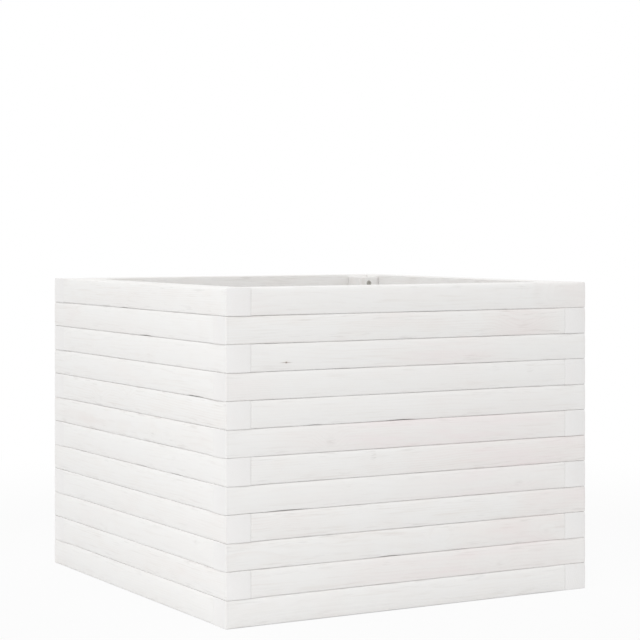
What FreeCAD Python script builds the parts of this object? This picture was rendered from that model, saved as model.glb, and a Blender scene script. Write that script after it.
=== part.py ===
import FreeCAD, Part
import os
from FreeCAD import Placement, Rotation, Vector

# Square floor planter: walls of stacked timber slats on inside corner posts, with a slatted floor.
# Millimetres. The origin is on the ground in the middle of the plan, +Z is up, the front faces -Y.

# Overall size
OUTER_WIDTH = 600.0
OUTER_DEPTH = 600.0
COURSE_COUNT = 12

# Wall slats
SLAT_HEIGHT = 37.9
SLAT_THICKNESS = 38.0
SLAT_CROWN = 1.0  # bulge of the outer face at half its height
SLAT_EDGE_RADIUS = 1.0  # long edges, and the edges of the end that shows
SLAT_JOINT_RADIUS = 0.6  # edges that close against the next slat

# Corner posts
POST_SIZE = 38.0
POST_EDGE_RADIUS = 2.0
POST_GROUND_GAP = 4.0
POST_RIM_DROP = 4.0

# Floor
BEARER_GROUND_GAP = 5.0
BEARER_END_GAP = 1.0
BEARER_LEDGE = 20.0  # how far a bearer reaches in past the posts
BEARER_EDGE_RADIUS = 1.5
BOARD_COUNT = 4
BOARD_THICKNESS = 18.0
BOARD_EDGE_RADIUS = 1.5
BOARD_CLEARANCE = 3.0  # from the walls and posts
DRAIN_GAP = 12.0

# Screws
SHANK_RADIUS = 2.0
HEAD_RADIUS = 4.5
HEAD_SINK = 0.3  # top of the head below the wood's surface
TIP_LENGTH = 6.0
TIP_RADIUS = 0.3
RECESS_SPAN = 5.0
RECESS_WIDTH = 1.2
RECESS_DEPTH = 1.6
BORE_CLEARANCE = 0.1
COUNTERBORE_CLEARANCE = 1.0
SLAT_BITE = 22.0  # length of a frame screw in a slat
BEARER_BITE = 16.0  # length of a floor screw in a bearer
SCREW_STAGGER = 5.0  # above or below half a slat's height, so crossing screws pass
FLOOR_SCREW_INSET = 25.0

# Sizes that follow
wall_height = COURSE_COUNT * SLAT_HEIGHT
inner_width = OUTER_WIDTH - 2 * SLAT_THICKNESS
inner_depth = OUTER_DEPTH - 2 * SLAT_THICKNESS
bearer_length = inner_width - 2 * (POST_SIZE + BEARER_END_GAP)
bearer_width = POST_SIZE + BEARER_LEDGE
bearer_top = SLAT_HEIGHT - BEARER_GROUND_GAP
floor_top = bearer_top + BOARD_THICKNESS
board_pitch = (inner_width - 2 * BOARD_CLEARANCE + DRAIN_GAP) / BOARD_COUNT
board_width = board_pitch - DRAIN_GAP
frame_screw_length = POST_SIZE + SLAT_BITE
floor_screw_length = BOARD_THICKNESS + BEARER_BITE

# Walls in order round the plan, and the post at the left end of each, seen from outside
WALLS = ("front", "right", "back", "left")
POSTS = ("front_left_post", "front_right_post", "back_right_post", "back_left_post")
BEARER_WALLS = ("front", "back")

UP = Vector(0, 0, 1)
DOWN = Vector(0, 0, -1)
INWARD = Vector(0, 1, 0)
OUTWARD = Vector(0, -1, 0)


def wall_sizes(wall):
    """The outer length of a wall, and the planter's outer size across it."""
    if wall in BEARER_WALLS:
        return OUTER_WIDTH, OUTER_DEPTH
    return OUTER_DEPTH, OUTER_WIDTH


def turned(shape, wall):
    """A shape laid for the front wall, turned about the middle to another wall."""
    return shape.rotated(Vector(), UP, 90.0 * WALLS.index(wall))


def edges_along(shape, direction):
    """The straight edges of a box that run in one direction."""
    return [edge for edge in shape.Edges if edge.tangentAt(edge.FirstParameter).cross(direction).Length < 0.5]


def screw(length):
    """A countersunk screw, the top of its head at the origin and its point down."""
    taper = HEAD_RADIUS - SHANK_RADIUS
    outline = [
        Vector(0, 0, 0),
        Vector(HEAD_RADIUS, 0, 0),
        Vector(SHANK_RADIUS, 0, -taper),
        Vector(SHANK_RADIUS, 0, TIP_LENGTH - length),
        Vector(TIP_RADIUS, 0, -length),
        Vector(0, 0, -length),
        Vector(0, 0, 0),
    ]
    body = Part.Face(Part.makePolygon(outline)).revolve(Vector(), UP, 360)
    corner = Vector(-RECESS_SPAN / 2, -RECESS_WIDTH / 2, -RECESS_DEPTH)
    slot = Part.makeBox(RECESS_SPAN, RECESS_WIDTH, RECESS_DEPTH, corner)
    return body.cut([slot, slot.rotated(Vector(), UP, 90)]).Solids[0]


def driven(fastener, head, direction):
    """A screw driven in at a point of the wood's surface."""
    seat = Placement(head + direction * HEAD_SINK, Rotation(DOWN, direction))
    return fastener.transformed(seat.Matrix)


def bore(head, direction, length):
    """The countersunk hole for a screw driven in at a point of the wood's surface."""
    hole_radius = SHANK_RADIUS + BORE_CLEARANCE
    seat_radius = HEAD_RADIUS + HEAD_SINK + BORE_CLEARANCE
    seat = Part.makeCone(seat_radius, hole_radius, seat_radius - hole_radius, head, direction)
    hole = Part.makeCylinder(hole_radius, HEAD_SINK + length + BORE_CLEARANCE, head, direction)
    return hole.fuse(seat)


def slat_screw_heads(wall, course):
    """Heads of the screws at the left and right end of a slat, as laid for the front wall."""
    length, across = wall_sizes(wall)
    reach = length / 2 - SLAT_THICKNESS - POST_SIZE / 2
    face = SLAT_THICKNESS + POST_SIZE - across / 2
    middle = (course + 0.5) * SLAT_HEIGHT
    return [
        Vector(-reach, face, middle + SCREW_STAGGER),
        Vector(reach, face, middle - SCREW_STAGGER),
    ]


def board_left(index):
    """Left edge of a floor board."""
    return BOARD_CLEARANCE - inner_width / 2 + index * board_pitch


def bearer_screw_heads():
    """Heads of the screws that hold the front bearer, one under each drain gap."""
    face = bearer_width - BEARER_LEDGE - inner_depth / 2
    gaps = [board_left(index) - DRAIN_GAP / 2 for index in range(1, BOARD_COUNT)]
    return [Vector(gap, face, SLAT_HEIGHT / 2) for gap in gaps]


def board_end(index):
    """How far a floor board stops from the front and back walls; outer boards fit between posts."""
    if index in (0, BOARD_COUNT - 1):
        return POST_SIZE + BOARD_CLEARANCE
    return BOARD_CLEARANCE


def floor_screw_heads(index):
    """Heads of the two screws at the front end of a floor board."""
    support = bearer_length / 2 - FLOOR_SCREW_INSET
    left = max(board_left(index) + FLOOR_SCREW_INSET, -support)
    right = min(board_left(index) + board_width - FLOOR_SCREW_INSET, support)
    seat = (board_end(index) + bearer_width - inner_depth) / 2
    return [Vector(left, seat, floor_top), Vector(right, seat, floor_top)]


def slat_blank(length):
    """An undrilled slat: the end that shows at x = 0, the crowned face at y = 0."""
    outer_low = Vector(0, SLAT_CROWN, 0)
    outer_high = Vector(0, SLAT_CROWN, SLAT_HEIGHT)
    inner_low = Vector(0, SLAT_THICKNESS, 0)
    inner_high = Vector(0, SLAT_THICKNESS, SLAT_HEIGHT)
    crown = Part.Arc(outer_high, Vector(0, 0, SLAT_HEIGHT / 2), outer_low).toShape()
    sides = [
        Part.makeLine(outer_low, inner_low),
        Part.makeLine(inner_low, inner_high),
        Part.makeLine(inner_high, outer_high),
    ]
    blank = Part.Face(Part.Wire(sides + [crown])).extrude(Vector(length, 0, 0))

    eased = []
    for edge in blank.Edges:
        centre = edge.CenterOfMass
        at_showing_end = centre.x < SLAT_EDGE_RADIUS and centre.y < SLAT_THICKNESS - SLAT_EDGE_RADIUS
        if at_showing_end or abs(centre.x - length / 2) < SLAT_EDGE_RADIUS:
            eased.append(edge)
    blank = blank.makeFillet(SLAT_EDGE_RADIUS, eased).Solids[0]

    closing = []
    for edge in blank.Edges:
        box = edge.BoundBox
        at_butt_end = box.XMin > length - SLAT_JOINT_RADIUS
        at_inner_upright = box.XMax < SLAT_JOINT_RADIUS and box.YMin > SLAT_THICKNESS - SLAT_JOINT_RADIUS
        if at_butt_end or at_inner_upright:
            closing.append(edge)
    return blank.makeFillet(SLAT_JOINT_RADIUS, closing).Solids[0]


def slat(wall, course):
    """One slat in place; odd courses lie end for end, so the corner joints alternate."""
    length, across = wall_sizes(wall)
    slat_length = length - SLAT_THICKNESS
    blank = slat_blank(slat_length)
    left = -length / 2
    if course % 2 == 1:
        middle = Vector(slat_length / 2, 0, SLAT_HEIGHT / 2)
        blank = blank.rotated(middle, INWARD, 180)
        left += SLAT_THICKNESS
    heads = slat_screw_heads(wall, course)
    if course == 0 and wall in BEARER_WALLS:
        heads += bearer_screw_heads()
    holes = [bore(head, OUTWARD, frame_screw_length) for head in heads]
    laid = blank.translated(Vector(left, -across / 2, course * SLAT_HEIGHT))
    return turned(laid.cut(holes).Solids[0], wall)


def corner_post(wall):
    """The post at the left end of a wall, drilled for that wall and the one before it."""
    length, across = wall_sizes(wall)
    before = WALLS[WALLS.index(wall) - 1]
    corner = Vector(SLAT_THICKNESS - length / 2, SLAT_THICKNESS - across / 2, POST_GROUND_GAP)
    post = Part.makeBox(POST_SIZE, POST_SIZE, wall_height - POST_GROUND_GAP - POST_RIM_DROP, corner)
    post = turned(post.makeFillet(POST_EDGE_RADIUS, edges_along(post, UP)), wall)
    holes = []
    for course in range(COURSE_COUNT):
        left_head = slat_screw_heads(wall, course)[0]
        right_head = slat_screw_heads(before, course)[1]
        holes.append(turned(bore(left_head, OUTWARD, frame_screw_length), wall))
        holes.append(turned(bore(right_head, OUTWARD, frame_screw_length), before))
    return post.cut(holes).Solids[0]


def floor_bearer(wall):
    """The batten along the foot of a wall that carries the ends of the floor boards."""
    corner = Vector(-bearer_length / 2, -inner_depth / 2, BEARER_GROUND_GAP)
    bearer = Part.makeBox(bearer_length, bearer_width, bearer_top - BEARER_GROUND_GAP, corner)
    bearer = bearer.makeFillet(BEARER_EDGE_RADIUS, edges_along(bearer, Vector(1, 0, 0)))
    holes = []
    for head in bearer_screw_heads():
        holes.append(bore(head, OUTWARD, frame_screw_length))
        holes.append(Part.makeCylinder(HEAD_RADIUS + COUNTERBORE_CLEARANCE, BEARER_LEDGE, head, INWARD))
    for index in range(BOARD_COUNT):
        holes += [bore(head, DOWN, floor_screw_length) for head in floor_screw_heads(index)]
    return turned(bearer.cut(holes).Solids[0], wall)


def floor_board(index):
    """One board of the floor, screwed down at both ends."""
    end = board_end(index)
    corner = Vector(board_left(index), end - inner_depth / 2, bearer_top)
    board = Part.makeBox(board_width, inner_depth - 2 * end, BOARD_THICKNESS, corner)
    board = board.makeFillet(BOARD_EDGE_RADIUS, edges_along(board, INWARD))
    holes = []
    for front_head in floor_screw_heads(index):
        back_head = Vector(front_head.x, -front_head.y, front_head.z)
        holes += [bore(head, DOWN, floor_screw_length) for head in (front_head, back_head)]
    return board.cut(holes).Solids[0]


def frame_screws():
    """The screws from inside into the slats, through the posts and the bearers."""
    fastener = screw(frame_screw_length)
    fasteners = []
    for wall in WALLS:
        heads = []
        for course in range(COURSE_COUNT):
            heads += slat_screw_heads(wall, course)
        if wall in BEARER_WALLS:
            heads += bearer_screw_heads()
        fasteners += [turned(driven(fastener, head, OUTWARD), wall) for head in heads]
    return Part.makeCompound(fasteners)


def floor_screws():
    """The screws down through the floor boards into the bearers."""
    fastener = screw(floor_screw_length)
    fasteners = []
    for wall in BEARER_WALLS:
        for index in range(BOARD_COUNT):
            fasteners += [turned(driven(fastener, head, DOWN), wall) for head in floor_screw_heads(index)]
    return Part.makeCompound(fasteners)


nodes = {}
for wall in WALLS:
    for course in range(COURSE_COUNT):
        nodes[f"{wall}_slat_{course + 1:02d}"] = slat(wall, course)
for wall, name in zip(WALLS, POSTS):
    nodes[name] = corner_post(wall)
for wall in BEARER_WALLS:
    nodes[f"{wall}_floor_bearer"] = floor_bearer(wall)
for index in range(BOARD_COUNT):
    nodes[f"floor_board_{index + 1}"] = floor_board(index)
nodes["frame_screws"] = frame_screws()
nodes["floor_screws"] = floor_screws()

os.makedirs("parts", exist_ok=True)
for name, shape in nodes.items():
    shape.exportStep(f"parts/{name}.step")
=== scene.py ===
import math
from collections import namedtuple

import bpy
import numpy as np
from mathutils import Matrix, Vector


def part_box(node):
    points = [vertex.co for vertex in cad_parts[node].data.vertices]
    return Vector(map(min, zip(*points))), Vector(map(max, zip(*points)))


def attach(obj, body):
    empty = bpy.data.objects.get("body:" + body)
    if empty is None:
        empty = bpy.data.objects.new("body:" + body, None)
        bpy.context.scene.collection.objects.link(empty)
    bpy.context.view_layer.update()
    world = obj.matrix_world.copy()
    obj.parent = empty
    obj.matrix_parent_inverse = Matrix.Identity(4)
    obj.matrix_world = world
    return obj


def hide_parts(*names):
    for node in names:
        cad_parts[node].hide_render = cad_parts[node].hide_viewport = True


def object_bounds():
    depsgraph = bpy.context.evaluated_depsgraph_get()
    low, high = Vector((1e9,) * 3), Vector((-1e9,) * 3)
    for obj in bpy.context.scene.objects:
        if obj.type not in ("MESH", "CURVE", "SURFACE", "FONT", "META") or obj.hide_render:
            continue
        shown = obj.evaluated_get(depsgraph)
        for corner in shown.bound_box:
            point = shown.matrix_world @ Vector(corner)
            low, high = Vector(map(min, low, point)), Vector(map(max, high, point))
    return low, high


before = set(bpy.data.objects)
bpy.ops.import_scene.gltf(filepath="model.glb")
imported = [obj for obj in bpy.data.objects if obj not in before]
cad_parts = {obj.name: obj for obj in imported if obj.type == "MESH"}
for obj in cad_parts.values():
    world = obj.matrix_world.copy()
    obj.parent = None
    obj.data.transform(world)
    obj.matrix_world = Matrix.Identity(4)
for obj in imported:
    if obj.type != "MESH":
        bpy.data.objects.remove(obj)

# A square floor planter of stacked pine slats under thin white paint.
# Metres, in the frame's own axes: the front faces -Y, +Z is up, the ground is z = 0.

cad_low, cad_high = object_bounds()

# Sizes taken from the frame
first_low, first_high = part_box("front_slat_01")
OUTER_SIZE = cad_high.x - cad_low.x
SLAT_LENGTH = first_high.x - first_low.x
SLAT_HEIGHT = first_high.z - first_low.z
SLAT_THICKNESS = OUTER_SIZE - SLAT_LENGTH
COURSE_COUNT = sum(name.startswith("front_slat_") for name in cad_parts)
BOARD_COUNT = sum(name.startswith("floor_board_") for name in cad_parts)
WALLS = ("front", "right", "back", "left")
X_AXIS, Y_AXIS, Z_AXIS = range(3)

# Edges of a slat. One end shows at a corner of the planter, and the other butts against the next wall.
EDGE_RADIUS = 0.0012  # long edges
CORNER_RADIUS = 0.0016  # upright edge at the planter's corner
SHOWING_RADIUS = 0.0005  # upper and lower edges of the end that shows
JOINT_RADIUS = 0.0003  # edges that close an upright joint
SHARPEST_SHARE = 0.05  # of the long edges' radius, kept where an end draws in

# Upright joints: the gap, and how much wider it is in one wall and narrower, filled with paint, in another
JOINT_GAP = 0.00012
JOINT_OPENINGS = {"front": 0.00010, "left": -0.00010}
JOINT_OPENING_REACH = 0.010

# Crown of the outer face, which is less near the ends, and easing of its upper edge
FACE_CROWN = 0.0015
STRAIGHT_REACH = 0.025
STRAIGHT_SHARE = 0.8
UPPER_EASE = 0.0008
UPPER_EASE_REACH = 0.0050

# Dome of the end that shows, across and up, and how far along the slat it fades
END_CROWN = 0.00015
END_RISE = 0.0002
END_CROWN_REACH = 0.030

# Long edges that aren't quite straight
EDGE_WAVE = 0.00025
LONGEST_WAVE = 0.30
SHORTEST_WAVE = 0.02
WAVE_COUNT = 7

# Where a slat's mesh has its points: along it, round its edges, on its ends and across its four sides
STATION_STEP = 0.004
EDGE_STEPS = 4
END_STEPS = 7
CAP_SCALES = (0.40, 0.70, 0.94)
UPPER_SHARES = (0.03, 0.12, 0.25, 0.50, 0.80, 0.97)
LOWER_SHARES = tuple(1.0 - share for share in reversed(UPPER_SHARES))
INNER_SHARES = (0.03, 0.50, 0.97)
CROWN_SHARES = (0.02, 0.05, 0.08, 0.12, 0.20, 0.32, 0.50, 0.68, 0.80, 0.88, 0.92, 0.95, 0.98)

# Knots that the paint doesn't quite hide: the place along a wall is from its left end, seen from
# outside, the height is above the lower edge of the slat, and the stretch is along the grain
Knot = namedtuple("Knot", "wall course along height radius stretch strength")
SEEN_KNOTS = (
    Knot("front", 10, 0.092, 0.0115, 0.0011, 1.7, 1.00),
    Knot("front", 10, 0.397, 0.009, 0.0040, 2.2, 0.07),
    Knot("front", 11, 0.488, 0.014, 0.0070, 1.8, 0.06),
    Knot("front", 6, 0.231, 0.027, 0.0062, 0.8, 0.18),
    Knot("front", 7, 0.162, 0.014, 0.0058, 1.3, 0.10),
    Knot("front", 2, 0.252, 0.028, 0.0028, 2.2, 0.09),
    Knot("front", 2, 0.445, 0.012, 0.0030, 2.2, 0.08),
    Knot("front", 4, 0.092, 0.017, 0.0034, 2.2, 0.05),
    Knot("left", 7, 0.370, 0.012, 0.0044, 1.3, 0.15),
    Knot("left", 7, 0.430, 0.007, 0.0028, 2.2, 0.07),
    Knot("left", 3, 0.510, 0.028, 0.0036, 1.8, 0.08),
    Knot("left", 3, 0.187, 0.009, 0.0034, 2.4, 0.06),
    Knot("left", 4, 0.235, 0.011, 0.0038, 2.4, 0.05),
    Knot("left", 6, 0.440, 0.022, 0.0034, 2.4, 0.05),
)

# Faint knots of the other slats; their heights are shares of the slat's
HIDDEN_KNOTS_AT_MOST = 2
HIDDEN_KNOT_ALONG = (0.06, 0.54)
HIDDEN_KNOT_HEIGHT = (0.2, 0.8)
HIDDEN_KNOT_RADIUS = (0.0022, 0.0050)
HIDDEN_KNOT_STRENGTH = (0.02, 0.08)
HIDDEN_KNOT_STRETCH = 1.6

# In radii of a knot: how far it counts, where its core and its halo start and are full, how far and
# how much it pushes the rings aside, and the length and thickness of the streak through a strong one
KNOT_REACH = 10.0
CORE_SPAN = (1.5, 0.2)
HALO_SPAN = (5.0, 0.8)
PUSH_SPAN = (5.0, 0.0)
KNOT_PUSH = 1.6
STREAK_LENGTH = 7.0
STREAK_THICKNESS = 0.75

# Offset and radius that stand for no knot
NO_KNOT = (1.0, 1.0, 0.000001)

# Stretches where the wood blushes pink through the paint
Blush = namedtuple("Blush", "wall course start stop strength")
SEEN_BLUSHES = (
    Blush("front", 12, 0.500, 0.640, 0.6),
    Blush("front", 11, 0.410, 0.560, 0.6),
    Blush("front", 10, 0.240, 0.470, 0.8),
    Blush("front", 9, -0.050, 0.090, 0.6),
    Blush("front", 9, 0.300, 0.430, 0.4),
    Blush("front", 8, 0.280, 0.580, 0.4),
    Blush("front", 7, 0.050, 0.620, 1.1),
    Blush("front", 6, 0.260, 0.680, 0.9),
    Blush("front", 5, 0.260, 0.600, 0.9),
    Blush("front", 4, 0.060, 0.150, 0.4),
    Blush("front", 4, 0.460, 0.680, 0.8),
    Blush("front", 3, 0.350, 0.600, 0.7),
    Blush("front", 2, 0.140, 0.640, 0.9),
    Blush("front", 1, 0.130, 0.190, 0.3),
    Blush("left", 11, 0.030, 0.110, 0.5),
    Blush("left", 3, 0.095, 0.175, 0.6),
)

# Stretches where a slat's lower edge is hollow and the seam under it stands open
OpenSeam = namedtuple("OpenSeam", "wall course start stop depth")
SEEN_OPEN_SEAMS = (
    OpenSeam("front", 5, 0.062, 0.126, 0.0009),
    OpenSeam("front", 8, 0.252, 0.304, 0.0008),
    OpenSeam("front", 8, 0.124, 0.152, 0.0006),
    OpenSeam("front", 3, 0.238, 0.277, 0.0009),
    OpenSeam("left", 12, 0.252, 0.282, 0.0004),
    OpenSeam("left", 11, 0.320, 0.365, 0.0009),
    OpenSeam("left", 9, 0.478, 0.532, 0.0010),
    OpenSeam("left", 6, 0.308, 0.348, 0.0006),
    OpenSeam("left", 6, 0.424, 0.468, 0.0005),
)
SEAM_HOLLOW_REACH = 0.012
HUMP_POWER = 0.7

# How the slats were cut from the log
PITH_NEAREST = 0.025
PITH_FARTHEST = 0.110
GRAIN_SLOPE = 0.020
LOG_LENGTH = 30.0
SLOWEST_GROWN = 1.35
FASTEST_GROWN = 0.70
SEEDS_PER_WALL = 100

# Noise in the wood, as repeats in a metre along the grain and across it
RING_WANDER_REPEATS = (3.0, 18.0)
RING_WOBBLE_REPEATS = (8.0, 90.0)
FIBRE_REPEATS = (7.0, 420.0)
PORE_REPEATS = (45.0, 1500.0)
STREAK_DETAIL = 2.0
FIBRE_DETAIL = 3.0

# Growth rings: their spacing, how far they stray, and where in a ring the late wood comes and goes
RING_SPACING = 0.0032
RING_WANDER = 0.018
RING_WOBBLE = 0.0020
LATE_RISE = (0.30, 0.88)
LATE_FALL = (1.0, 0.90)

# Kinds of marks: repeats along and across the grain, the noise at which a mark starts and is full,
# and its strength outside and inside
Marks = namedtuple("Marks", "along across start full low high", defaults=(0.0, 1.0))
FEATHERS = Marks(70.0, 480.0, 0.40, 0.62, 0.10, 1.25)
STRONG_GRAIN = Marks(3.5, 40.0, 0.38, 0.68, 0.15, 1.0)
BLUSH_SPREAD = Marks(9.0, 60.0, 0.25, 0.70, 0.4, 1.0)
FAINT_BLUSH = Marks(3.2, 20.0, 0.50, 0.74, 0.0, 0.35)
CLOUDS = Marks(20.0, 55.0, 0.40, 0.75)
BRUSH_STREAKS = Marks(2.0, 160.0, 0.45, 0.80)
GRAIN_MARKS = Marks(10.0, 210.0, 0.60, 0.74)
EDGE_DASHES = Marks(26.0, 340.0, 0.56, 0.70)
WORN_EDGES = Marks(30.0, 90.0, 0.58, 0.80)

# How much wood each of them shows through the paint, and how much less on end grain
FIBRE_RANGE = (0.25, 0.75)
GRAIN_SHOW = (0.012, 0.040)
BLUSH_SHOW = 0.115
CLOUD_SHOW = 0.034
BRUSH_SHOW = 0.018
MARK_SHOW = 0.038
WORN_SHOW = 0.050
HALO_SHOW = 0.07
END_GRAIN_HIDES = 0.60

# How dark knots, streaks and grey marks are, and how dark the painted shade on the ends is
CORE_DARK = 0.80
STREAK_DARK = 0.65
MARK_GREY = 0.030
DASH_GREY = 0.014
EDGE_DASH_GREY = 0.085
END_GRAIN_HIDES_GREY = 0.9
PAINTED_END_SHADE_DARK = 0.035

# Share of the painted end shade on the upright corner edges, painted there to dull the highlight they catch
PAINTED_CORNER_SHADE = 0.75

# The wall whose slat ends get more painted shade than the others, and how much more
SHADED_END_WALL = "front"
WALL_PAINTED_END_SHADE = 0.7

# How far the wood shows through, slat by slat, and how far from a long edge the paint is thinner
LEAST_SHOW = 0.7
MOST_SHOW = 1.6
THIN_PAINT_REACH = 0.014

# Roughness and relief of the painted wood
PAINT_ROUGHNESS = 0.44
FIBRE_ROUGHNESS = 0.16
END_ROUGHNESS = 0.12
PAINT_SPECULAR = 0.2
FIBRE_RELIEF = 0.45
LATE_RELIEF = 0.22
PORE_RELIEF = 0.25
KNOT_RELIEF = -0.6
RELIEF_STRENGTH = 0.45
RELIEF_HEIGHT = 0.0004

# Inside timbers: how far the wood shows through, and where in a log each was cut
POSTS = ("front_left_post", "front_right_post", "back_right_post", "back_left_post")
POST_SHOW = 1.6
POST_PITH_DISTANCE = 0.05
POST_PITH_START = 0.6
POST_PITH_TURN = 1.9
POST_LOG_STEP = 3.1
BEARERS = ("front_floor_bearer", "back_floor_bearer")
BEARER_SHOW = 1.8
BEARER_PITH = (0.02, 0.06)
BEARER_LOG_STEP = 4.3
BOARD_SHOW = 2.0
BOARD_PITH_STEP = 0.018
BOARD_PITH_MIDDLE = 1.2
BOARD_PITH_DROP = 0.05
BOARD_LOG_STEP = 2.7

# Colours, linear
PAINT = (0.843, 0.8375, 0.8275, 1.0)
# Paint on the ends, lighter than PAINT: painted light on the end grain
LIT_END_PAINT = (0.857, 0.849, 0.843, 1.0)
EARLY_WOOD = (0.700, 0.560, 0.415, 1.0)
LATE_WOOD = (0.500, 0.320, 0.210, 1.0)
BLUSH_WOOD = (0.800, 0.460, 0.490, 1.0)
KNOT_WOOD = (0.160, 0.105, 0.080, 1.0)
ZINC = (0.560, 0.550, 0.520, 1.0)
DULL_ZINC = (0.36, 0.35, 0.32, 1.0)
WHITE = (1.0, 1.0, 1.0, 1.0)
BLACK = (0.0, 0.0, 0.0, 1.0)

# Dull patches on zinc plate
ZINC_PATCH_SCALE = 900.0
ZINC_PATCH_DETAIL = 3.0
ZINC_PATCH_RANGE = (0.35, 0.75)
ZINC_ROUGHNESS_RANGE = (0.3, 0.8)
ZINC_ROUGHNESS = (0.28, 0.50)

# Camera of the photograph: level, with the frame moved down
IMAGE_SIZE = 640
FOCAL_PIXELS = 1933.6
HORIZON_ROW = 228.6
SENSOR_WIDTH = 36.0
CAMERA_PLACE = (-1.476, -2.592, 0.534)
CAMERA_TURN = math.radians(-29.95)

# Light
WORLD_STRENGTH = 1.084
KEY_PLACE = (-2.42, -1.67, 0.7)
KEY_SIZE = 1.3
KEY_POWER = 16.5

# Floor, and how white the camera sees it by the object, between two distances from its middle
FLOOR_RADIUS = 40.0
FLOOR_SIDES = 96
FLOOR_DROP = 0.0003
FLOOR_GLOW = 0.92
FLOOR_GLOW_NEAR = 0.7
FLOOR_GLOW_FAR = 1.7

# How far under the walls the floor is fully dark and still white
UNDER_WALL_DARK = 0.006
UNDER_WALL_PALE = 0.001

# The floor's own grey, paler by the walls so that their feet are lit as evenly as the rest
FLOOR_TONE_NEAR = 0.665
FLOOR_TONE_FAR = 0.55
FLOOR_TONE_REACH = 0.80


# Node helpers

def add(tree, kind, inputs=None, **settings):
    """A new node with its settings made and its inputs set or linked."""
    made = tree.nodes.new(kind)
    for name, value in settings.items():
        setattr(made, name, value)
    for key, value in (inputs or {}).items():
        if isinstance(value, bpy.types.NodeSocket):
            tree.links.new(value, made.inputs[key])
        else:
            made.inputs[key].default_value = value
    return made


def calc(tree, operation, first, second=0.0, third=0.0):
    """The result of a math node."""
    return add(tree, "ShaderNodeMath", {0: first, 1: second, 2: third}, operation=operation).outputs[0]


def length_of(tree, vector):
    """The length of a vector."""
    return add(tree, "ShaderNodeVectorMath", {0: vector}, operation="LENGTH").outputs["Value"]


def ease(tree, value, start, stop, low=0.0, high=1.0):
    """A smooth step from low to high between two values."""
    inputs = {"Value": value, "From Min": start, "From Max": stop, "To Min": low, "To Max": high}
    return add(tree, "ShaderNodeMapRange", inputs, interpolation_type="SMOOTHSTEP").outputs["Result"]


def blend(tree, share, first, second):
    """A colour between two others."""
    return add(tree, "ShaderNodeMix", {0: share, 6: first, 7: second}, data_type="RGBA").outputs[2]


def streaks(tree, place, along, across, detail=STREAK_DETAIL):
    """Noise drawn out along the grain, from 0 to 1."""
    repeats = {0: place, 1: (along, across, across)}
    stretched = add(tree, "ShaderNodeVectorMath", repeats, operation="MULTIPLY").outputs[0]
    inputs = {"Vector": stretched, "Scale": 1.0, "Detail": detail, "Roughness": 0.5}
    return add(tree, "ShaderNodeTexNoise", inputs).outputs["Fac"]


def marked(tree, place, marks):
    """How strong a kind of mark is at a place."""
    noise = streaks(tree, place, marks.along, marks.across)
    return ease(tree, noise, marks.start, marks.full, marks.low, marks.high)


def blank_material(name):
    """A new material with no nodes yet."""
    material = bpy.data.materials.new(name)
    material.use_nodes = True
    material.node_tree.nodes.clear()
    return material


# Painted pine. Each input of its node group has a name, the name of a slat's attribute and a kind.

PINE_INPUTS = (
    ("Place", "log_place", "Vector"),
    ("Knot", "knot", "Vector"),
    ("Knot Strength", "knot_strength", "Float"),
    ("End Grain", "end_grain", "Float"),
    # Painted shade across the ends and on the upright corner edges
    ("Painted End Shade", "painted_end_shade", "Float"),
    ("Blush", "blush", "Float"),
    ("Edge", "edge", "Float"),
    ("Near Edge", "near_edge", "Float"),
    ("Thinness", "thinness", "Float"),
)
PINE_OUTPUTS = (("Color", "Color"), ("Roughness", "Float"), ("Height", "Float"))


def knot_marks(group, given):
    """A knot's core, its halo, the dark streak through it, and how far it pushes the rings aside."""
    strength = given["Knot Strength"]
    along, up, radius = add(group, "ShaderNodeSeparateXYZ", {0: given["Knot"]}).outputs
    offset = add(group, "ShaderNodeCombineXYZ", {0: along, 1: up}).outputs[0]
    span = calc(group, "DIVIDE", length_of(group, offset), radius)

    # Faint knots are broken up into feathers
    strong = calc(group, "POWER", strength, 2.0)
    unbroken = calc(group, "MAXIMUM", marked(group, given["Place"], FEATHERS), strong)
    core_strength = calc(group, "MULTIPLY", strength, unbroken)
    core = calc(group, "MULTIPLY", ease(group, span, *CORE_SPAN), core_strength)
    halo = calc(group, "MULTIPLY", ease(group, span, *HALO_SPAN), strength)
    push = calc(group, "MULTIPLY", ease(group, span, *PUSH_SPAN), calc(group, "MULTIPLY", radius, KNOT_PUSH))

    streak_along = calc(group, "DIVIDE", along, STREAK_LENGTH)
    streak_up = calc(group, "DIVIDE", up, STREAK_THICKNESS)
    streak_offset = add(group, "ShaderNodeCombineXYZ", {0: streak_along, 1: streak_up}).outputs[0]
    streak_span = calc(group, "DIVIDE", length_of(group, streak_offset), radius)
    streak = calc(group, "MULTIPLY", ease(group, streak_span, 1.0, 0.0), strong)
    return core, halo, streak, push


def late_wood(group, place, knot_push):
    """1 in the late wood of the growth rings about the pith, and 0 between."""
    axes = add(group, "ShaderNodeSeparateXYZ", {0: place}).outputs
    across = add(group, "ShaderNodeCombineXYZ", {1: axes[1], 2: axes[2]}).outputs[0]
    from_pith = length_of(group, across)
    wander = calc(group, "MULTIPLY_ADD", streaks(group, place, *RING_WANDER_REPEATS), RING_WANDER, from_pith)
    wobble = calc(group, "MULTIPLY_ADD", streaks(group, place, *RING_WOBBLE_REPEATS), RING_WOBBLE, wander)
    ring = calc(group, "DIVIDE", calc(group, "ADD", wobble, knot_push), RING_SPACING)
    phase = calc(group, "FRACT", ring)
    return calc(group, "MULTIPLY", ease(group, phase, *LATE_RISE), ease(group, phase, *LATE_FALL))


def pink_patches(group, given):
    """How pink the wood is: where it is seen to be, and faintly elsewhere."""
    seen = calc(group, "MULTIPLY", given["Blush"], marked(group, given["Place"], BLUSH_SPREAD))
    return calc(group, "MAXIMUM", seen, marked(group, given["Place"], FAINT_BLUSH))


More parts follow.
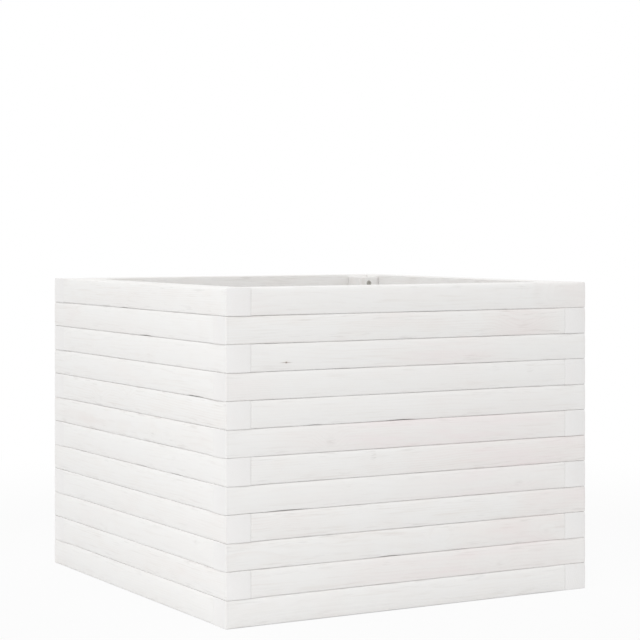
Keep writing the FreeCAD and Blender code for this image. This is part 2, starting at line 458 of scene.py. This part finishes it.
def wood_showing(group, given, late, fibre, blush, marks, knot_halo):
    """How much wood shows through the paint."""
    place = given["Place"]
    show = calc(group, "MULTIPLY", late, ease(group, fibre, *FIBRE_RANGE, *GRAIN_SHOW))
    show = calc(group, "MULTIPLY", show, marked(group, place, STRONG_GRAIN))
    show = calc(group, "MULTIPLY_ADD", blush, BLUSH_SHOW, show)
    show = calc(group, "MULTIPLY_ADD", marked(group, place, CLOUDS), CLOUD_SHOW, show)
    show = calc(group, "MULTIPLY_ADD", marked(group, place, BRUSH_STREAKS), BRUSH_SHOW, show)
    show = calc(group, "MULTIPLY_ADD", marks, MARK_SHOW, show)
    side_share = calc(group, "MULTIPLY_ADD", given["End Grain"], -END_GRAIN_HIDES, 1.0)
    show = calc(group, "MULTIPLY", show, side_share)
    worn = calc(group, "MULTIPLY", given["Edge"], marked(group, place, WORN_EDGES))
    show = calc(group, "MULTIPLY_ADD", worn, WORN_SHOW, show)
    show = calc(group, "MULTIPLY", show, given["Thinness"])
    show = calc(group, "MULTIPLY_ADD", knot_halo, HALO_SHOW, show)
    return calc(group, "MINIMUM", show, 1.0)


def grey_marks(group, given, marks):
    """Short grey marks along the grain, more of them near the long edges and few on end grain."""
    dashes = marked(group, given["Place"], EDGE_DASHES)
    dash_grey = calc(group, "MULTIPLY_ADD", given["Near Edge"], EDGE_DASH_GREY, DASH_GREY)
    grey = calc(group, "MULTIPLY_ADD", marks, MARK_GREY, calc(group, "MULTIPLY", dashes, dash_grey))
    side_share = calc(group, "MULTIPLY_ADD", given["End Grain"], -END_GRAIN_HIDES_GREY, 1.0)
    grey = calc(group, "MULTIPLY", grey, side_share)
    return calc(group, "MULTIPLY", grey, given["Thinness"])


def pine_group():
    """Colour, roughness and relief of pine under thin paint, from a place in the log."""
    group = bpy.data.node_groups.new("pine_under_paint", "ShaderNodeTree")
    for name, _, kind in PINE_INPUTS:
        group.interface.new_socket(name, in_out="INPUT", socket_type="NodeSocket" + kind)
    for name, kind in PINE_OUTPUTS:
        group.interface.new_socket(name, in_out="OUTPUT", socket_type="NodeSocket" + kind)
    given = group.nodes.new("NodeGroupInput").outputs
    place = given["Place"]

    knot_core, knot_halo, knot_streak, knot_push = knot_marks(group, given)
    late = late_wood(group, place, knot_push)
    fibre = streaks(group, place, *FIBRE_REPEATS, FIBRE_DETAIL)
    pores = streaks(group, place, *PORE_REPEATS)
    blush = pink_patches(group, given)
    marks = marked(group, place, GRAIN_MARKS)

    wood = blend(group, late, EARLY_WOOD, LATE_WOOD)
    wood = blend(group, calc(group, "MINIMUM", blush, 1.0), wood, BLUSH_WOOD)
    # End grain gets a lighter paint: painted light on the ends
    paint = blend(group, given["End Grain"], PAINT, LIT_END_PAINT)
    colour = blend(group, wood_showing(group, given, late, fibre, blush, marks, knot_halo), paint, wood)
    core_dark = calc(group, "MULTIPLY", knot_core, CORE_DARK)
    streak_dark = calc(group, "MULTIPLY", knot_streak, STREAK_DARK)
    dark = calc(group, "MAXIMUM", core_dark, streak_dark)
    dark = calc(group, "ADD", grey_marks(group, given, marks), dark)
    colour = blend(group, dark, colour, KNOT_WOOD)
    # Painted shade across the ends and on the upright corner edges, as a darkening toward black
    colour = blend(group, calc(group, "MULTIPLY", given["Painted End Shade"], PAINTED_END_SHADE_DARK), colour, BLACK)

    roughness = calc(group, "MULTIPLY_ADD", fibre, FIBRE_ROUGHNESS, PAINT_ROUGHNESS)
    roughness = calc(group, "MULTIPLY_ADD", given["End Grain"], END_ROUGHNESS, roughness)

    relief = calc(group, "MULTIPLY_ADD", fibre, FIBRE_RELIEF, calc(group, "MULTIPLY", late, LATE_RELIEF))
    relief = calc(group, "MULTIPLY_ADD", pores, PORE_RELIEF, relief)
    relief = calc(group, "MULTIPLY_ADD", knot_core, KNOT_RELIEF, relief)

    add(group, "NodeGroupOutput", {"Color": colour, "Roughness": roughness, "Height": relief})
    return group


PINE = pine_group()


def painted_pine(name, inputs_for):
    """A painted pine material; inputs_for gives the pine group's inputs in its tree."""
    material = blank_material(name)
    tree = material.node_tree
    pine = add(tree, "ShaderNodeGroup", inputs_for(tree), node_tree=PINE).outputs
    relief = {"Height": pine["Height"], "Strength": RELIEF_STRENGTH, "Distance": RELIEF_HEIGHT}
    inputs = {
        "Base Color": pine["Color"],
        "Roughness": pine["Roughness"],
        "Normal": add(tree, "ShaderNodeBump", relief).outputs["Normal"],
        "Specular IOR Level": PAINT_SPECULAR,
    }
    surface = add(tree, "ShaderNodeBsdfPrincipled", inputs)
    add(tree, "ShaderNodeOutputMaterial", {"Surface": surface.outputs[0]})
    return material


def slat_inputs(tree):
    """The pine group's inputs on a slat, from what its mesh holds."""
    inputs = {}
    for name, attribute, kind in PINE_INPUTS:
        held = add(tree, "ShaderNodeAttribute", attribute_name=attribute).outputs
        inputs[name] = held["Vector"] if kind == "Vector" else held["Fac"]
    return inputs


def log_inputs(grain_axis, pith, thinness):
    """The pine group's inputs on a CAD node whose grain runs along an axis of the frame."""
    def inputs(tree):
        coordinates = add(tree, "ShaderNodeTexCoord").outputs["Object"]
        moved = add(tree, "ShaderNodeVectorMath", {0: coordinates, 1: pith}, operation="SUBTRACT").outputs[0]
        split = add(tree, "ShaderNodeSeparateXYZ", {0: moved}).outputs
        turned = {index: split[(grain_axis + index) % 3] for index in range(3)}
        place = add(tree, "ShaderNodeCombineXYZ", turned).outputs[0]
        return {"Place": place, "Knot": NO_KNOT, "Thinness": thinness}
    return inputs


SLAT_PINE = painted_pine("white_slat_pine", slat_inputs)


# Form of the slats

def drawn_in(distance, radius):
    """How far a rounded edge draws in at a distance from the end that it rounds."""
    reach = np.clip(radius - distance, 0.0, radius)
    return radius - np.sqrt(radius ** 2 - reach ** 2)


def section(inset, outer_inset, inner_inset):
    """Outline across a slat as (depth, height) points, drawn in by insets, and which lie on edges."""
    low, high = inset, SLAT_HEIGHT - inset
    outer, inner = outer_inset, SLAT_THICKNESS - inner_inset
    radius = max(EDGE_RADIUS - inset, SHARPEST_SHARE * EDGE_RADIUS)
    corners = (
        (outer + radius, high - radius, 180.0, UPPER_SHARES),
        (inner - radius, high - radius, 90.0, INNER_SHARES),
        (inner - radius, low + radius, 0.0, LOWER_SHARES),
        (outer + radius, low + radius, -90.0, CROWN_SHARES),
    )
    arcs = []
    for depth, height, start, _ in corners:
        angles = np.radians(np.linspace(start, start - 90.0, EDGE_STEPS + 1))
        arcs.append(np.stack([depth + radius * np.cos(angles), height + radius * np.sin(angles)], 1))
    points, on_edge = [], []
    for index, arc in enumerate(arcs):
        points += list(arc)
        on_edge += [1.0] * len(arc)
        begin, end = arc[-1], arcs[(index + 1) % len(arcs)][0]
        shares = corners[index][3]
        points += [begin + share * (end - begin) for share in shares]
        on_edge += [0.0] * len(shares)
    return np.array(points), np.array(on_edge)


def slat_rings(length):
    """Rings of points round a slat from its showing end at x = 0 to its butt end, and the edge marks."""
    turns = np.radians(np.linspace(0.0, 90.0, END_STEPS))
    showing = CORNER_RADIUS * (1.0 - np.cos(turns))
    butt = length - JOINT_RADIUS * (1.0 - np.cos(turns[::-1]))
    count = round(length / STATION_STEP)
    body = np.linspace(CORNER_RADIUS, length - JOINT_RADIUS, count)[1:-1]
    centre = np.array([SLAT_THICKNESS / 2, SLAT_HEIGHT / 2])

    rings, edges = [], []

    def lay(x, scale):
        butt_inset = drawn_in(length - x, JOINT_RADIUS)
        radii = (SHOWING_RADIUS, CORNER_RADIUS, JOINT_RADIUS)
        outline, on_edge = section(*[float(drawn_in(x, radius) + butt_inset) for radius in radii])
        outline = centre + scale * (outline - centre)
        rings.append(np.column_stack([np.full(len(outline), x), outline]))
        edges.append(on_edge if scale == 1.0 else np.zeros(len(outline)))

    for scale in CAP_SCALES:
        lay(0.0, scale)
    for x in np.concatenate([showing, body, butt]):
        lay(x, 1.0)
    for scale in CAP_SCALES[::-1]:
        lay(length, scale)
    return np.array(rings), np.array(edges)


def ring_faces(ring_count, point_count):
    """Quads between rings, and fans at both ends to the two centre points that follow the rings."""
    faces = []
    for ring in range(ring_count - 1):
        here, there = ring * point_count, (ring + 1) * point_count
        for point in range(point_count):
            after = (point + 1) % point_count
            faces.append((here + point, here + after, there + after, there + point))
    first, last = ring_count * point_count, ring_count * point_count + 1
    end = (ring_count - 1) * point_count
    for point in range(point_count):
        after = (point + 1) % point_count
        faces.append((first, after, point))
        faces.append((last, end + point, end + after))
    return faces


BLANK_LENGTH = SLAT_LENGTH - JOINT_GAP
BLANK_RINGS, BLANK_EDGES = slat_rings(BLANK_LENGTH)
RING_COUNT, POINT_COUNT = BLANK_EDGES.shape
BLANK_FACES = ring_faces(RING_COUNT, POINT_COUNT)


def near(distance, reach):
    """1 at no distance, falling evenly to 0 at the reach and beyond."""
    return np.clip(1 - distance / reach, 0.0, 1.0)


def wave(random, places):
    """A smooth random wave along a slat, from 0 to 1."""
    total = np.zeros_like(places)
    for length in np.geomspace(LONGEST_WAVE, SHORTEST_WAVE, WAVE_COUNT):
        height = (length / LONGEST_WAVE) ** 0.5
        total += np.sin(2 * np.pi * (places / length + random.random())) * height
    return 0.5 + 0.5 * total / np.abs(total).max()


def hump(places, start, stop):
    """Rises from 0 to 1 and back between two places."""
    share = np.clip((places - start) / (stop - start), 0.0, 1.0)
    return np.sin(np.pi * share) ** HUMP_POWER


def slat_left(course):
    """How far a slat's left end lies from the left end of its wall; it stops short in even courses."""
    return SLAT_THICKNESS if course % 2 == 0 else 0.0


def slat_points(wall, course, random):
    """Points of a slat as it lies in its wall, x from its left end seen from outside, y inward, z up."""
    middle = (SLAT_THICKNESS / 2, SLAT_HEIGHT / 2)
    centres = np.array([[0.0, *middle], [BLANK_LENGTH, *middle]])
    points = np.concatenate([BLANK_RINGS.reshape(-1, 3), centres])
    x, depth, height = points.T.copy()

    # Crowned face, slightly domed showing end, and a butt end that opens or closes its joint
    rise = (2 * height / SLAT_HEIGHT - 1) ** 2
    width = (2 * depth / SLAT_THICKNESS - 1) ** 2
    near_face = near(depth, SLAT_THICKNESS / 2)
    x += near(x, END_CROWN_REACH) ** 2 * (END_CROWN * width + END_RISE * rise)
    straight = 1 - STRAIGHT_SHARE * near(np.minimum(x, SLAT_LENGTH - x), STRAIGHT_REACH)
    depth += FACE_CROWN * straight * near_face * rise
    x -= JOINT_OPENINGS.get(wall, 0.0) * near(SLAT_LENGTH - x, JOINT_OPENING_REACH)

    # Even courses lie the other way round
    if course % 2 == 0:
        x = SLAT_LENGTH - x
        height = SLAT_HEIGHT - height

    # Eased upper edge, edges that aren't quite straight, and seams that stand open
    depth += UPPER_EASE * straight * near_face * near(SLAT_HEIGHT - height, UPPER_EASE_REACH) ** 2
    upper = near(SLAT_HEIGHT - height, SLAT_HEIGHT / 2)
    lower = near(height, SLAT_HEIGHT / 2)
    height -= EDGE_WAVE * upper * near_face * wave(random, x)
    height += EDGE_WAVE * lower * near_face * wave(random, x)
    for seam in SEEN_OPEN_SEAMS:
        if (seam.wall, seam.course) == (wall, course):
            left = slat_left(course)
            hollow = near(depth, SEAM_HOLLOW_REACH) ** 0.5
            height += seam.depth * lower ** 3 * hollow * hump(x, seam.start - left, seam.stop - left)
    return np.column_stack([x, depth, height])


# What a slat's mesh holds for its material

def set_attribute(mesh, name, kind, values):
    """Writes one value per vertex to the mesh."""
    made = mesh.attributes.new(name, kind, "POINT")
    field = "vector" if kind == "FLOAT_VECTOR" else "value"
    made.data.foreach_set(field, np.ascontiguousarray(values, dtype=np.float32).ravel())


def on_rings(values, at_centres):
    """Values of the rings' points, with one more for each of the two centre points."""
    return np.append(values.ravel(), [at_centres, at_centres])


def slat_knots(wall, course, random):
    """Knots of one slat: those seen, or else a few faint ones or none."""
    knots = [knot for knot in SEEN_KNOTS if (knot.wall, knot.course) == (wall, course)]
    if not knots:
        for _ in range(random.integers(0, HIDDEN_KNOTS_AT_MOST + 1)):
            along = random.uniform(*HIDDEN_KNOT_ALONG)
            height = random.uniform(*HIDDEN_KNOT_HEIGHT) * SLAT_HEIGHT
            radius = random.uniform(*HIDDEN_KNOT_RADIUS)
            strength = random.uniform(*HIDDEN_KNOT_STRENGTH)
            knots.append(Knot(wall, course, along, height, radius, HIDDEN_KNOT_STRETCH, strength))
    return knots


def mark_log(mesh, points, random):
    """Gives each point its place in the log that the slat was cut from."""
    distance = random.uniform(PITH_NEAREST, PITH_FARTHEST)
    turn = random.uniform(0.0, 2 * np.pi)
    slope = random.uniform(-GRAIN_SLOPE, GRAIN_SLOPE, 2)
    log_start = random.uniform(0.0, LOG_LENGTH)
    growth = random.uniform(FASTEST_GROWN, SLOWEST_GROWN)
    x, depth, height = points.T
    log_depth = growth * (depth - SLAT_THICKNESS / 2 - distance * np.cos(turn) + slope[0] * x)
    log_height = growth * (height - SLAT_HEIGHT / 2 - distance * np.sin(turn) + slope[1] * x)
    set_attribute(mesh, "log_place", "FLOAT_VECTOR", np.column_stack([x + log_start, log_depth, log_height]))


def mark_knots(mesh, points, wall, course, random):
    """Gives each point its offset from the nearest knot, and that knot's radius and strength."""
    count = len(points)
    x = points[:, 0]
    nearest = np.full(count, np.inf)
    offset = np.tile(NO_KNOT, (count, 1))
    strength = np.zeros(count)
    for knot in slat_knots(wall, course, random):
        along = (x - (knot.along - slat_left(course))) / knot.stretch
        up = points[:, 2] - knot.height
        spans = np.hypot(along, up) / knot.radius
        closer = spans < nearest
        nearest[closer] = spans[closer]
        offset[closer] = np.column_stack([along, up, np.full(count, knot.radius)])[closer]
        strength[closer] = knot.strength
    beyond = nearest > KNOT_REACH
    offset[beyond, 2] = NO_KNOT[2]
    strength[beyond] = 0.0
    set_attribute(mesh, "knot", "FLOAT_VECTOR", offset)
    set_attribute(mesh, "knot_strength", "FLOAT", strength)


def mark_ends(mesh, points, wall, course):
    """Marks end grain, and paints shade across the ends and on the upright corner edges."""
    cap_count = len(CAP_SCALES)
    ends = np.zeros((RING_COUNT, POINT_COUNT))
    ends[: cap_count + 1] = 1.0
    ends[-cap_count - 1:] = 1.0
    end_grain = on_rings(ends, 1.0)
    across = points[:, 1] / SLAT_THICKNESS
    # Painted shade across each showing end, darker towards its right side as seen from outside
    shade = across if course % 2 == 0 else 1.0 - across
    # More painted shade on one wall's ends
    if wall == SHADED_END_WALL:
        shade = shade + WALL_PAINTED_END_SHADE
    corner = np.zeros((RING_COUNT, POINT_COUNT))
    # Painted shade on the upright corner edges, to dull their highlight
    corner[cap_count: cap_count + END_STEPS] = PAINTED_CORNER_SHADE
    set_attribute(mesh, "end_grain", "FLOAT", end_grain)
    set_attribute(mesh, "painted_end_shade", "FLOAT", np.maximum(end_grain * shade, on_rings(corner, 0.0)))


def mark_blush(mesh, points, wall, course):
    """Marks where the slat is pink."""
    along = points[:, 0] + slat_left(course)
    pink = np.zeros(len(points))
    for blush in SEEN_BLUSHES:
        if (blush.wall, blush.course) == (wall, course):
            pink = np.maximum(pink, blush.strength * hump(along, blush.start, blush.stop))
    set_attribute(mesh, "blush", "FLOAT", pink)


def mark_paint(mesh, points, random):
    """Marks the edges, how near each point is to a long edge, and how thin the slat's paint is."""
    height = points[:, 2]
    to_edge = np.minimum(height, SLAT_HEIGHT - height)
    thinness = random.uniform(LEAST_SHOW, MOST_SHOW)
    set_attribute(mesh, "edge", "FLOAT", on_rings(BLANK_EDGES, 0.0))
    set_attribute(mesh, "near_edge", "FLOAT", near(to_edge, THIN_PAINT_REACH))
    set_attribute(mesh, "thinness", "FLOAT", np.full(len(points), thinness))


def lay_slat(wall, course):
    """Makes one slat and lays it in its wall."""
    side = WALLS.index(wall)
    random = np.random.default_rng(SEEDS_PER_WALL * side + course)
    name = f"{wall}_slat_{course:02d}"
    points = slat_points(wall, course, random)
    mesh = bpy.data.meshes.new(name + "_wood")
    mesh.from_pydata(points.tolist(), [], BLANK_FACES)
    mesh.shade_smooth()
    mark_log(mesh, points, random)
    mark_knots(mesh, points, wall, course, random)
    mark_ends(mesh, points, wall, course)
    mark_blush(mesh, points, wall, course)
    mark_paint(mesh, points, random)
    mesh.materials.append(SLAT_PINE)
    piece = bpy.data.objects.new(name + "_wood", mesh)
    bpy.context.collection.objects.link(piece)
    corner = Vector((slat_left(course) - OUTER_SIZE / 2, -OUTER_SIZE / 2, (course - 1) * SLAT_HEIGHT))
    piece.matrix_world = Matrix.Rotation(side * math.pi / 2, 4, "Z") @ Matrix.Translation(corner)
    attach(piece, "root")
    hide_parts(name)


for wall in WALLS:
    for course in range(1, COURSE_COUNT + 1):
        lay_slat(wall, course)


# Posts, bearers, floor boards and screws keep their CAD shapes

def finish_node(name, material):
    """Gives a CAD node its material."""
    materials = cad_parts[name].data.materials
    materials.clear()
    materials.append(material)


def finish_timber(name, grain_axis, thinness, pith_offset):
    """Painted pine on a CAD node, cut from its own place in a log."""
    low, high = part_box(name)
    pith = (low + high) / 2 + Vector(pith_offset)
    finish_node(name, painted_pine(name + "_pine", log_inputs(grain_axis, pith, thinness)))


def finish_posts():
    """Posts with upright grain, each turned about its own pith."""
    for index, name in enumerate(POSTS):
        angle = POST_PITH_START + POST_PITH_TURN * index
        across = POST_PITH_DISTANCE * math.cos(angle)
        deep = POST_PITH_DISTANCE * math.sin(angle)
        finish_timber(name, Z_AXIS, POST_SHOW, (across, deep, POST_LOG_STEP * index))


def finish_bearers():
    """Bearers with grain along the wall."""
    for index, name in enumerate(BEARERS):
        finish_timber(name, X_AXIS, BEARER_SHOW, (BEARER_LOG_STEP * index, *BEARER_PITH))


def finish_boards():
    """Floor boards with grain from front to back."""
    for index in range(BOARD_COUNT):
        across = BOARD_PITH_STEP * (index - BOARD_PITH_MIDDLE)
        pith = (across, BOARD_LOG_STEP * index, -BOARD_PITH_DROP)
        finish_timber(f"floor_board_{index + 1}", Y_AXIS, BOARD_SHOW, pith)


def zinc_plate():
    """Bright zinc plate, a little dulled."""
    material = blank_material("zinc_plate")
    tree = material.node_tree
    coordinates = add(tree, "ShaderNodeTexCoord").outputs["Object"]
    noise = {"Vector": coordinates, "Scale": ZINC_PATCH_SCALE, "Detail": ZINC_PATCH_DETAIL}
    patches = add(tree, "ShaderNodeTexNoise", noise).outputs["Fac"]
    inputs = {
        "Base Color": blend(tree, ease(tree, patches, *ZINC_PATCH_RANGE), ZINC, DULL_ZINC),
        "Roughness": ease(tree, patches, *ZINC_ROUGHNESS_RANGE, *ZINC_ROUGHNESS),
        "Metallic": 1.0,
    }
    surface = add(tree, "ShaderNodeBsdfPrincipled", inputs)
    add(tree, "ShaderNodeOutputMaterial", {"Surface": surface.outputs[0]})
    return material


def finish_screws():
    """Zinc plate on all screws."""
    material = zinc_plate()
    for name in ("frame_screws", "floor_screws"):
        finish_node(name, material)


finish_posts()
finish_bearers()
finish_boards()
finish_screws()


# Floor, light and camera

def seen_directly(tree):
    """1 for what the camera sees, straight or in a mirror or glass, and 0 for light on the object."""
    path = add(tree, "ShaderNodeLightPath").outputs
    seen = calc(tree, "MAXIMUM", path["Is Camera Ray"], path["Is Glossy Ray"])
    return calc(tree, "MAXIMUM", seen, path["Is Transmission Ray"])


def floor_material():
    """A white floor with a soft shadow by the object, dark under it and plain white further off."""
    material = blank_material("floor")
    tree = material.node_tree
    coordinates = add(tree, "ShaderNodeTexCoord").outputs["Object"]
    distance = length_of(tree, coordinates)
    glow = ease(tree, distance, FLOOR_GLOW_NEAR, FLOOR_GLOW_FAR, FLOOR_GLOW, 1.0)
    sides = add(tree, "ShaderNodeSeparateXYZ", {0: coordinates}).outputs
    reach = calc(tree, "MAXIMUM", calc(tree, "ABSOLUTE", sides[0]), calc(tree, "ABSOLUTE", sides[1]))
    outside = ease(tree, reach, OUTER_SIZE / 2 - UNDER_WALL_DARK, OUTER_SIZE / 2 - UNDER_WALL_PALE)
    share = calc(tree, "MULTIPLY", seen_directly(tree), calc(tree, "MULTIPLY", glow, outside))
    tone = ease(tree, reach, OUTER_SIZE / 2, FLOOR_TONE_REACH, FLOOR_TONE_NEAR, FLOOR_TONE_FAR)
    matt = add(tree, "ShaderNodeBsdfDiffuse", {"Color": tone})
    bright = add(tree, "ShaderNodeEmission", {"Color": WHITE, "Strength": 1.0})
    mixed = add(tree, "ShaderNodeMixShader", {0: share, 1: matt.outputs[0], 2: bright.outputs[0]})
    add(tree, "ShaderNodeOutputMaterial", {"Surface": mixed.outputs[0]})
    return material


def lay_floor():
    """A round floor under the object."""
    turns = [2 * math.pi * index / FLOOR_SIDES for index in range(FLOOR_SIDES)]
    rim = [(FLOOR_RADIUS * math.cos(turn), FLOOR_RADIUS * math.sin(turn), 0.0) for turn in turns]
    mesh = bpy.data.meshes.new("floor")
    mesh.from_pydata(rim, [], [tuple(range(FLOOR_SIDES))])
    mesh.materials.append(floor_material())
    floor = bpy.data.objects.new("floor", mesh)
    floor.location.z = cad_low.z - FLOOR_DROP
    bpy.context.collection.objects.link(floor)


def light_world():
    """Even white light from all round, and a white background."""
    world = bpy.data.worlds.new("studio")
    world.use_nodes = True
    tree = world.node_tree
    tree.nodes.clear()
    strength = ease(tree, seen_directly(tree), 0.0, 1.0, WORLD_STRENGTH, 1.0)
    background = add(tree, "ShaderNodeBackground", {"Color": WHITE, "Strength": strength})
    add(tree, "ShaderNodeOutputWorld", {"Surface": background.outputs[0]})
    bpy.context.scene.world = world


def area_light(name, place, size, power):
    """A square soft light that faces the middle of the object."""
    lamp = bpy.data.lights.new(name, "AREA")
    lamp.size = size
    lamp.energy = power
    light = bpy.data.objects.new(name, lamp)
    light.location = place
    aim = (cad_low + cad_high) / 2 - light.location
    light.rotation_euler = aim.to_track_quat("-Z", "Y").to_euler()
    bpy.context.collection.objects.link(light)


def place_camera():
    """The camera of the photograph."""
    lens = bpy.data.cameras.new("camera")
    lens.sensor_width = SENSOR_WIDTH
    lens.lens = SENSOR_WIDTH * FOCAL_PIXELS / IMAGE_SIZE
    lens.shift_y = (HORIZON_ROW - IMAGE_SIZE / 2) / IMAGE_SIZE
    camera = bpy.data.objects.new("camera", lens)
    camera.location = CAMERA_PLACE
    camera.rotation_euler = (math.pi / 2, 0.0, CAMERA_TURN)
    bpy.context.collection.objects.link(camera)
    bpy.context.scene.camera = camera


lay_floor()
light_world()
area_light("key", KEY_PLACE, KEY_SIZE, KEY_POWER)
place_camera()
bpy.context.scene.view_settings.view_transform = "Standard"
